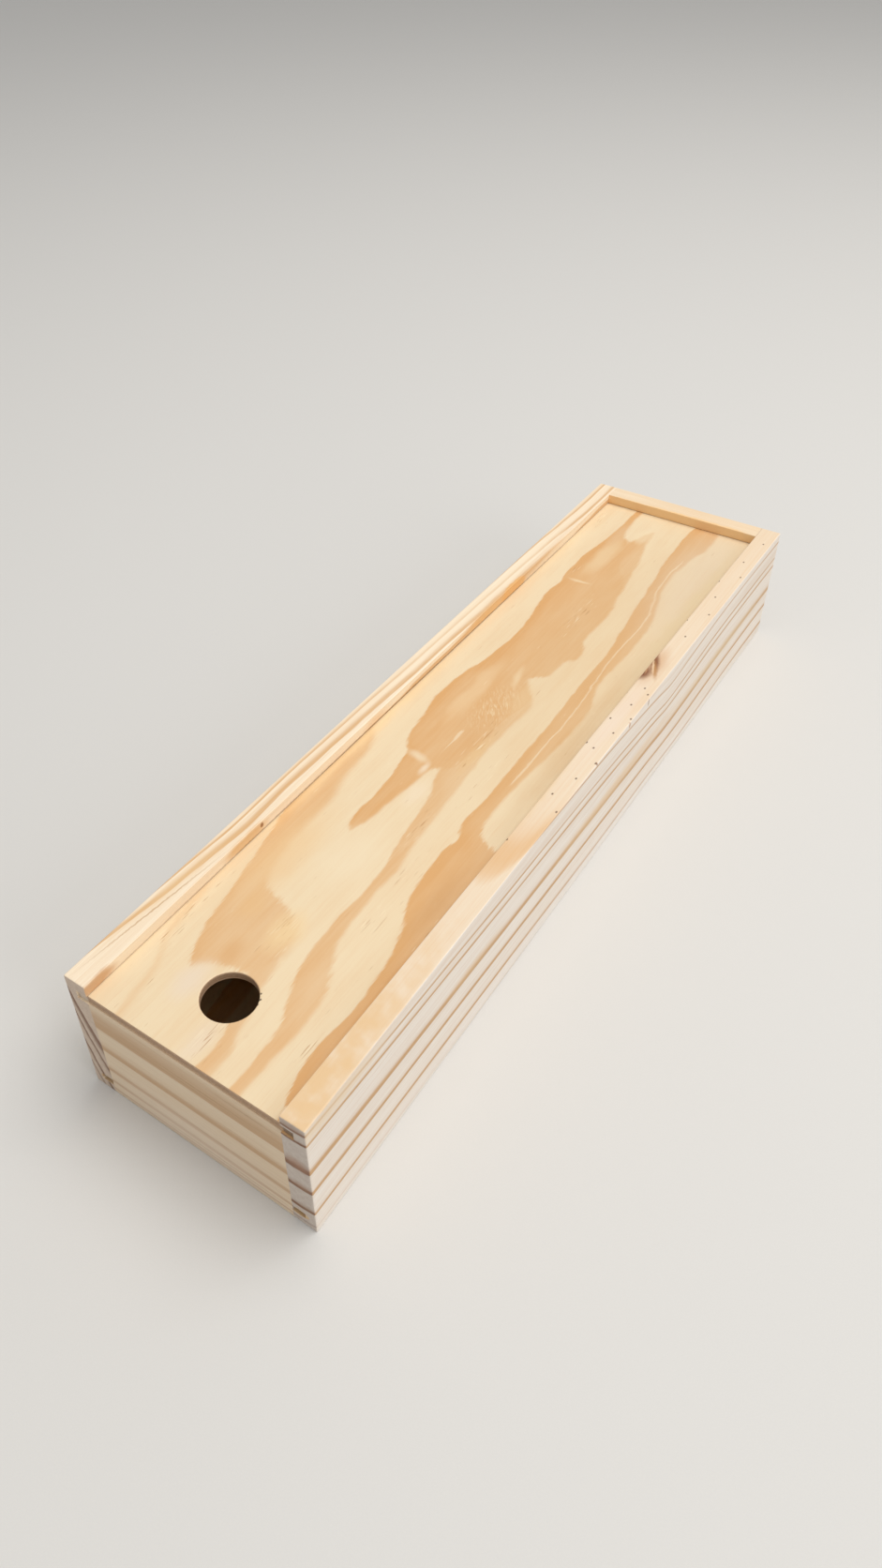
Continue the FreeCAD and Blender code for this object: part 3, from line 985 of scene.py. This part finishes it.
BY_RIGHT_RAIL = Band(
    ((0, 60), (10, 56.7), (20, 53.7), (33, 51.2), (50, 51.2), (67, 53.2), (83, 52.3), (100, 50.3),
     (117, 47), (127, 42.8), (138, 37.8), (150, 35.7), (167, 33.7), (183, 33.3), (193, 35.5),
     (204, 31.5), (236, 32), (271, 31), (314, 31), (357, 29), (400, 28.7), (422, 26), (450, 22.8),
     (467, 21), (487, 18.7), (508, 16.2), (530, 14), (550, 13.3), (570, 12.8), (600, 15)),
    ((0, 58), (14, 70), (190, 67), (197, 58), (203, 45), (212, 42), (250, 42), (286, 45),
     (321, 46.5), (336, 46), (351, 42), (361, 39.5), (400, 40.5), (440, 40), (450, 38.5),
     (467, 34.2), (487, 29.4), (508, 27), (527, 28.5), (545, 30.5), (558, 34), (580, 34),
     (600, 32)),
    0.98, 1.4, 3.0,
)
FAINT = Band(
    ((0, -43), (15, -45), (33, -48), (55, -58), (600, -70)),
    ((0, -39), (15, -41), (33, -44.5), (58, -54), (600, -76)),
    0.24, 3.0, 5.0,
)
LID_BANDS = (BESIDE_RAIL, UNDER_HOLE, HEART, HEART_TIP, LONG_WAVE, BY_RIGHT_RAIL, FAINT)

# A thin pale line within a tongue, which fades out at both ends, and a pale sliver.
PALE_WAVE = (
    (0, 60), (238, 37.5), (252, 38.2), (285, 38.2), (320, 39), (345, 37.8), (364, 36), (400, 33.5),
    (430, 34.6), (450, 34.2), (469, 30), (487, 25.4), (508, 24.2), (529, 25.2), (550, 28),
    (600, 40),
)
PALE_LINE = Band(
    tuple((at, x - 0.5) for at, x in PALE_WAVE),
    tuple((at, x + (0.4 if 240 < at < 540 else -3.0)) for at, x in PALE_WAVE),
    0.55, 0.7, 1.0,
)
SLIVER = Band(
    ((0, 0), (246, -11), (262, -11.9), (273, -12.6), (277, -10.5), (600, 0)),
    ((0, -20), (246, -11.5), (262, -11.1), (273, -10.2), (277, -11.2), (600, -20)),
    0.6, 0.7, 1.0,
)

# Paler and darker places on the lid: (x, distance from the front, half width, half length,
# tone, depth, edge, turn), the turn left out where there is none.
LID_TONES = (
    (-26, 316, 8, 46, "#E9C596", 0.75, 0.7), (-28, 508, 9, 38, "#EACA9C", 0.75, 0.7),
    (-27, 468.5, 12, 2.6, "#F1D8AE", 0.75, 0.9), (-5, 212, 8, 18, "#F1DEC0", 0.6, 0.8),
    (-14, 552, 9, 16, "#EFDAB4", 0.6, 0.6), (5, 322, 10, 26, "#EBCB9B", 0.45, 0.8),
    (7, 262, 5, 34, "#E7BF86", 0.5, 0.8), (-4, 285, 14, 42, "#D9A468", 0.35, 0.9),
    (-24, 300, 9, 36, "#E9C392", 0.45, 0.9), (-40, 130, 22, 60, "#EBC591", 0.6, 0.9),
    (-20, 60, 9, 16, "#D9A56A", 0.5, 0.9), (50, 145, 9, 42, "#D09B60", 0.5, 0.9),
    (-32, 545, 7, 30, "#E6C79F", 0.4, 0.8), (22, 400, 60, 260, "#D9B98C", 0.28, 0.7),
    (45, 520, 40, 130, "#DDC8AE", 0.4, 0.9), (52, 310, 12, 140, "#CFA46E", 0.3, 0.9),
    (-5, 88, 13, 22, "#F0D2A0", 0.75, 0.9), (-30, 92, 9, 16, "#E6BB82", 0.4, 0.9),
    (-25, 36, 12, 20, "#E9D6BF", 0.7, 0.9), (2, 10, 9, 24, "#EAD6BC", 0.6, 0.9),
    (-8, 150, 22, 40, "#F0DDBB", 0.6, 0.9), (55, 470, 9, 150, "#E4CCA2", 0.7, 0.9),
    (-60, 240, 7, 160, "#F3D6A4", 0.5, 0.9), (-52, 560, 7, 30, "#E9CDA2", 0.35, 0.9),
    (-9.0, 341, 3.2, 20, "#EFD6AC", 0.55, 0.9, 20.0), (-36.0, 480, 2.2, 12, "#D9A66D", 0.35, 0.8),
    (-22.0, 240.5, 13, 5.0, "#F0DAB6", 0.75, 0.9, -6.0), (-12.5, 233, 3.5, 9, "#F3E2C6", 0.7, 0.9),
)
# Places where resin canals crowd: (x, distance from the front, half width, half length).
LID_BEDS = (
    (-40, 22, 5, 12), (-51, 56, 5, 13), (-7, 88, 12, 24), (2.5, 74, 4, 14), (29, 120, 8, 24),
    (48, 36, 5, 18), (27, 160, 8, 26), (12, 190, 6, 24), (4, 270, 9, 40), (-8, 425, 9, 50),
    (-38, 482, 4, 18), (23, 250, 5, 40), (-56, 560, 6, 30), (-56, 60, 5, 60), (4, 20, 12, 26),
)
# Torn chips at the finger hole's rim: (x, distance from the front, half width).
LID_CHIPS = ((11.9, 41.0, 1.0), (12.1, 44.0, 0.8), (11.4, 47.2, 0.7), (9.6, 50.2, 0.5))
CHIP_STRETCH = 1.3
# The lid's front corners, which the grooves hold: (x, tone). The right tone is painted shade, for
# the shaded mouth of the groove; the left is a pale tone like the board's end.
LID_CORNERS = ((-65.6, "#D9C8B4"), (65.6, "#7C6650"))
# Half the height of a patch on the lid, more than the sheet's thickness.
LID_PATCH_HEIGHT = 9


# --- The box ---
@dataclass
class Carcass:
    """The four pine boards and the plywood bottom between them."""

    nodes: dict[str, bpy.types.Object]
    length: float
    width: float
    height: float
    board: float
    made: list[str] = field(default_factory=list)

    def placed(self, *rows: tuple[Any, ...]) -> tuple[Patch, ...]:
        """Patches in the box's frame.

        Args:
            rows: ((x, distance from the front, z), reach, tone, depth, edge, turn) of each, the
                last two left out where the usual ones do.

        Returns:
            The patches.
        """
        half = self.length / 2
        return tuple(Patch((x, along - half, z), *looks) for (x, along, z), *looks in rows)

    def left_tones(self) -> tuple[Patch, ...]:
        """Warmer and paler places on the left board's top edge and on its lip.

        Returns:
            The patches.
        """
        rim, lip = self.height, self.board - self.width / 2
        return self.placed(
            ((-70.0, 80, rim), (4.6, 70, 4), "#EBC795", 0.5, 0.9, -3.5),
            ((-70.0, 400, rim), (8, 220, 4), "#F9E6C8", 0.5, 0.7),
            ((lip, 6, 88), (2.6, 20, 6), "#CF9860", 0.8, 0.6),
            ((lip, 124, 88), (3.4, 24, 6), "#E2B273", 0.75, 0.6),
            ((lip, 252, 88), (3.0, 18, 6), "#EDC08F", 0.5, 0.9),
            ((lip, 395, 88), (3.0, 50, 7), "#EDBB7C", 0.7, 0.8),
            ((lip, 428, 88), (3.6, 20, 7), "#EBB26C", 0.8, 0.25),
        )

    def left_marks(self) -> tuple[Patch, ...]:
        """A speck on the lip, a line on the rim, a dark line of painted shade under the lip, and
        the groove's mouth, painted a darker tan that is partly painted shade.

        Returns:
            The patches.
        """
        rim, lip, middle = self.height, self.board - self.width / 2, self.length / 2
        return self.placed(
            ((lip, 138, 89), (1.4, 1.8, 2.4), "#9A6638", 0.9),
            ((-67.6, 56, rim), (0.8, 66, 2), "#BE9058", 0.65, 0.9, -5.25),
            # Painted shade: a dark line along the foot of the lip, where it overhangs the lid.
            ((lip, middle, 84.8), (1.2, 420, 1.5), "#7A5028", 0.75, 0.9),
            # The groove's mouth, painted a darker tan: partly the rougher sawn inside of the
            # groove, partly painted shade in the recess.
            ((lip - 3.5, 0, 9), (6, 10, 2.9), "#D3B48A", 0.9, 0.15),
        )

    def right_tones(self) -> tuple[Patch, ...]:
        """Warmer and paler places on the right board's top edge and outer face.

        Returns:
            The patches.
        """
        rim, outer, middle = self.height, self.width / 2, self.length / 2
        return self.placed(
            ((67.5, 10, rim + 1), (18, 160, 2.4), "#E7C393", 0.95, 0.7),
            ((outer, 145, 53), (4, 45, 5), "#E0BE92", 0.45, 0.9),
            ((outer, 320, 47.0), (4, 130, 8), "#E4C397", 0.6, 0.9),
            ((outer, 500, 43.5), (4, 130, 7.5), "#DFC49C", 0.65, 0.9),
            ((outer, middle, 4), (4, 420, 12), "#F2EEEA", 0.45, 0.9),
            ((outer, 20, 86), (4, 70, 9), "#E9CDA6", 0.6, 0.9),
            ((60.5, 245, rim), (4.5, 60, 3), "#E9C89C", 0.7, 0.8),
            ((67.0, 330, rim), (7, 70, 2.5), "#F0DCCB", 0.4, 0.9),
            ((63.0, 392, rim), (11.5, 30, 8), "#D8AC82", 0.85, 0.85),
        )

    def right_marks(self) -> tuple[Patch, ...]:
        """The knot, small marks near it, the groove's mouth, painted a darker tan that is partly
        painted shade, and dark places on the sawn end.

        Returns:
            The patches.
        """
        rim, outer = self.height, self.width / 2
        return self.placed(
            ((61.6, 382, rim), (6.4, 11, 6), "#7C4520", 0.92, 0.8),
            ((63.2, 396, rim), (4.4, 17, 6), "#834B24", 0.92, 0.8, 20.0),
            ((66.6, 388, rim), (2.4, 14.0, 5), "#BE8A54", 0.85, 0.85, 24.0),
            ((64.2, 391, rim), (1.1, 13, 4), "#E6C49C", 0.95, 0.75, 22.0),
            ((62.0, 385, rim), (0.8, 6, 3), "#C79468", 0.8, 0.8, 12.0),
            ((60.3, 407, rim), (2.0, 8.0, 3), "#B07C52", 0.8, 0.8),
            ((61.7, 299.4, rim), (0.9, 1.6, 3), "#5E4430", 0.85, 0.6),
            ((outer, 330.5, rim - 2), (2, 1.6, 3.0), "#B98458", 0.8, 0.7),
            ((outer, 358.5, rim - 3), (2, 0.9, 3.6), "#9A6A48", 0.85, 0.6),
            ((outer, 285, rim), (2.4, 0.9, 1.6), "#8A5E40", 0.85, 0.6, -40.0),
            # The groove's mouth, painted a darker tan: partly the rougher sawn inside of the
            # groove, partly painted shade in the recess.
            ((outer - 10.5, 0, 9), (7, 10, 2.9), "#DDBB8C", 0.95, 0.15),
            ((69, 0, 58.0), (11, 2, 7.5), "#AE8264", 0.6, 0.9),
            ((70, 0, 38.5), (10, 2, 4.5), "#AE8768", 0.45, 0.9),
            ((71, 0, 19.0), (9, 2, 3.6), "#A98C6A", 0.35, 0.9),
            ((69, 0, 89.0), (11, 2, 4.0), "#A07C62", 0.5, 0.9),
        )

    def left_board(self) -> PlanedPine:
        """The left side board, whose rings run steeply through its thickness.

        Returns:
            The board's finish.
        """
        return PlanedPine(
            name="pine, planed, steep rings",
            grain=Grain.ALONG_Y, half_length=self.length / 2, height=self.height,
            rings=LEFT_RINGS, ring_span=44.0, fade=Fade.DOWNWARDS, drift_top=LEFT_DRIFT,
            slope=76.0, slope_from=-self.width / 2, cup=0.0167, cup_middle=-self.width / 2,
            early="#FBEACF", late="#DDB07C", end_early="#DAC6B2", end_late="#845E44", cloud=0.14,
            patches=self.left_tones(), marks=self.left_marks(),
        )

    def right_board(self) -> PlanedPine:
        """The right side board, with level rings that dip under a knot in its top edge.

        Returns:
            The board's finish.
        """
        return PlanedPine(
            name="pine, planed, level rings",
            grain=Grain.ALONG_Y, half_length=self.length / 2, height=self.height,
            rings=RIGHT_RINGS, ring_span=130.0, fade=Fade.UPWARDS,
            drift_top=RIGHT_DRIFT_TOP, drift_low=RIGHT_DRIFT_LOW, cup=0.0125, cup_middle=65.4,
            # The top edge's warmer tones are painted light, for the warm light that falls on top.
            early="#F0E7DC", late="#C99E6E", top_early_painted_light="#EEDABF", top_late_painted_light="#E4B884",
            end_early="#D4C8BC", end_late="#85593A", wander=0.5, cloud=0.1,
            patches=self.right_tones(), marks=self.right_marks(), specks=RIGHT_SPECKS,
        )

    def end_board(self, **looks: Any) -> PlanedPine:
        """An end board, its fibres across the box and its rings level.

        Args:
            looks: what sets this board's finish apart from the other's.

        Returns:
            The finish.
        """
        return PlanedPine(
            grain=Grain.ALONG_X, half_length=self.width / 2, height=self.height,
            ring_span=100.0, fade=Fade.UPWARDS, end_early="#D3C8BE", end_late="#94786A", **looks,
        )

    def front_board(self) -> PlanedPine:
        """The front board, with fine lines between its rings.

        Returns:
            The board's finish.
        """
        face = -self.length / 2
        return self.end_board(
            name="pine, planed, front", rings=FRONT_RINGS, early="#EEDABD", late="#CCA77E",
            patches=(Patch((0, face, 6), (95, 20, 42), "#EFDECB", 0.5, 0.9),),
            marks=tuple(
                Patch((x, face, z), (reach, 4, thick), "#B08C62", depth, 0.9)
                for x, z, reach, thick, depth in FRONT_LINES
            ),
        )

    def back_board(self) -> PlanedPine:
        """The back board, with a tan band on the lip above the groove.

        Returns:
            The board's finish.
        """
        lip = (0, self.length / 2 - self.board, 88.5)
        return self.end_board(
            name="pine, planed, back", rings=BACK_RINGS, early="#F4DFC0", late="#D9A76B",
            patches=(Patch(lip, (110, 3, 5.5), "#F6CC92", 0.9, 0.3),),
        )

    def bottom(self) -> PeeledPlywood:
        """The bottom panel, of the same plywood as the lid but thinner.

        Returns:
            The panel's finish.
        """
        low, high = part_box("bottom_panel")
        return PeeledPlywood(
            name="pine plywood, peeled, bottom",
            half_length=self.length / 2, underside=low.z / MM, thickness=(high.z - low.z) / MM,
            bands=BOTTOM_BANDS,
            ripple=Patch((10.0, 60.0, 11.0), (14, 26, 20), "#F4DDB8", 0.2),
            beds=(
                Patch((-20.0, -120.0, 11.0), (14, 60, 20), NO_TONE, 0.8),
                Patch((30.0, 80.0, 11.0), (9, 90, 20), NO_TONE, 0.8),
            ),
        )

    def dress(self) -> None:
        """Give each board and the bottom its finish."""
        finishes = {
            "left_side": self.left_board(),
            "right_side": self.right_board(),
            "front_end": self.front_board(),
            "back_end": self.back_board(),
            "bottom_panel": self.bottom(),
        }
        for node, finish in finishes.items():
            give_finish(self.nodes[node], finish.build())
            self.made.append(node)


@dataclass
class SlidingLid:
    """The plywood lid, with its finger hole near the front edge."""

    node: bpy.types.Object
    half_length: float

    def place(self, across: float, along: float) -> Place:
        """A point on the upper face, from its place across and its distance from the front."""
        return (across, along - self.half_length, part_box("lid")[1].z / MM)

    def spread(self, rows: tuple[tuple[Any, ...], ...], *looks: Any) -> tuple[Patch, ...]:
        """Patches on the upper face.

        Args:
            rows: the place across, the distance from the front, half the width and length, and
                then the row's own looks.
            looks: the looks that all of the rows share.

        Returns:
            The patches.
        """
        return tuple(
            Patch(self.place(x, along), (width, length, LID_PATCH_HEIGHT), *own, *looks)
            for x, along, width, length, *own in rows
        )

    def marks(self) -> tuple[Patch, ...]:
        """Torn chips at the finger hole's rim, and the corners where the grooves hold the lid:
        painted shade at the right one, a pale tone at the left.

        Returns:
            The patches.
        """
        chips = tuple(
            Patch(self.place(x, along), (size, size * CHIP_STRETCH, 1.2), "#3A2616", 0.9, 0.5)
            for x, along, size in LID_CHIPS
        )
        return chips + tuple(
            Patch((x, -self.half_length, 81.6), (4.4, 6, 4.4), tone, 0.8, 0.35)
            for x, tone in LID_CORNERS
        )

    def dress(self) -> None:
        """Give the lid its finish."""
        low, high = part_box("lid")
        plywood = PeeledPlywood(
            name="pine plywood, peeled and sanded, lid",
            half_length=self.half_length, underside=low.z / MM, thickness=(high.z - low.z) / MM,
            bands=LID_BANDS, pale=(PALE_LINE, SLIVER),
            patches=self.spread(LID_TONES), marks=self.marks(),
            beds=self.spread(LID_BEDS, NO_TONE, 1.0, 0.8),
            ripple=Patch(self.place(-6.0, 306), (17, 36, 9), "#F0D6AA", 0.6, 0.8),
        )
        give_finish(self.node, plywood.build())


@dataclass
class Dowels:
    """The blind dowels in the corner joints."""

    nodes: dict[str, bpy.types.Object]

    def dress(self) -> int:
        """Give each dowel its finish.

        Returns:
            How many there are.
        """
        beech = FlutedBeech().build()
        names = [name for name in self.nodes if name.startswith("dowel_")]
        for name in names:
            give_finish(self.nodes[name], beech)
        return len(names)


def give_finish(piece: bpy.types.Object, material: bpy.types.Material) -> None:
    """Put one material on all of a piece.

    Args:
        piece: the piece.
        material: its finish.
    """
    piece.data.materials.clear()
    piece.data.materials.append(material)


# --- Studio and camera ---
@dataclass(frozen=True)
class Softbox:
    """A square soft light that hangs at a place and points at the box."""

    name: str
    place: Place
    side: float
    power: float
    tone: str

    def hang(self, target: Vector) -> None:
        """Make the light.

        Args:
            target: the point that it faces.
        """
        lamp = bpy.data.lights.new(self.name, "AREA")
        lamp.shape = "SQUARE"
        lamp.size = self.side
        lamp.energy = self.power
        lamp.color = linear(self.tone)[:3]
        light = bpy.data.objects.new(self.name, lamp)
        place = Vector(self.place)
        aim = (place - target).to_track_quat("Z", "Y")
        light.matrix_world = Matrix.Translation(place) @ aim.to_matrix().to_4x4()
        bpy.context.scene.collection.objects.link(light)


@dataclass
class Studio:
    """A pale floor under soft light."""

    floor_half: float = 9.0
    ambient: float = 0.47
    target: Place = (0.0, 0.0, 0.04)
    softboxes: tuple[Softbox, ...] = (
        Softbox("overhead_softbox", (0.75, 0.55, 2.8), 2.2, 56.0, "#FFFDFA"),
        Softbox("side_softbox", (2.4, -0.5, 1.3), 1.4, 14.0, "#FFFFFF"),
    )

    def lay_floor(self) -> None:
        """Lay the floor just under the box's footprint."""
        mesh = bpy.data.meshes.new("studio_floor")
        half = self.floor_half
        corners = [(-half, -half, 0), (half, -half, 0), (half, half, 0), (-half, half, 0)]
        mesh.from_pydata(corners, [], [(0, 1, 2, 3)])
        floor = bpy.data.objects.new("studio_floor", mesh)
        bpy.context.scene.collection.objects.link(floor)
        mesh.materials.append(StudioPaper().build())

    def light(self) -> None:
        """Set the even surrounding light and hang the softboxes."""
        world = bpy.data.worlds.new("studio_air")
        world.use_nodes = True
        background = world.node_tree.nodes["Background"]
        background.inputs["Color"].default_value = linear("#FFFFFF")
        background.inputs["Strength"].default_value = self.ambient
        bpy.context.scene.world = world
        for softbox in self.softboxes:
            softbox.hang(Vector(self.target))


@dataclass(frozen=True)
class Viewpoint:
    """A camera held above the box, out beyond its front right corner."""

    place: Place = (0.2593, -0.4861, 0.5425)
    heading: float = 36.18
    elevation: float = 39.76
    roll: float = -2.07
    lens: float = 25.63
    shift: Point = (0.0411, -0.0439)
    sensor: float = 36.0
    nearest: float = 0.01

    def set_up(self) -> None:
        """Make the camera and use it for the scene."""
        lens = bpy.data.cameras.new("camera")
        lens.lens = self.lens
        lens.sensor_width = self.sensor
        lens.shift_x, lens.shift_y = self.shift
        lens.clip_start = self.nearest
        camera = bpy.data.objects.new("camera", lens)
        turn = (
            Matrix.Rotation(math.radians(self.heading), 4, "Z")
            @ Matrix.Rotation(math.radians(90.0 - self.elevation), 4, "X")
            @ Matrix.Rotation(math.radians(self.roll), 4, "Z")
        )
        camera.matrix_world = Matrix.Translation(self.place) @ turn
        bpy.context.scene.collection.objects.link(camera)
        bpy.context.scene.camera = camera


def main() -> None:
    """Load the solids, dress them and set up the studio."""
    logging.basicConfig(level=logging.INFO, format="%(message)s")
    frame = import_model()
    nodes = frame["nodes"]
    low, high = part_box("left_side")
    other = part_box("right_side")[1]
    carcass = Carcass(
        nodes=nodes,
        length=round((high.y - low.y) / MM, 1),
        width=round((other.x - low.x) / MM, 1),
        height=round((high.z - low.z) / MM, 1),
        board=round((high.x - low.x) / MM, 1),
    )
    carcass.dress()
    log.info("boards and bottom: %s", ", ".join(carcass.made))
    SlidingLid(nodes["lid"], carcass.length / 2).dress()
    log.info("lid")
    log.info("dowels: %d", Dowels(nodes).dress())
    studio = Studio()
    studio.lay_floor()
    studio.light()
    Viewpoint().set_up()
    bpy.context.scene.view_settings.view_transform = "Standard"
    log.info("studio and camera")


if __name__ == "__main__":
    main()
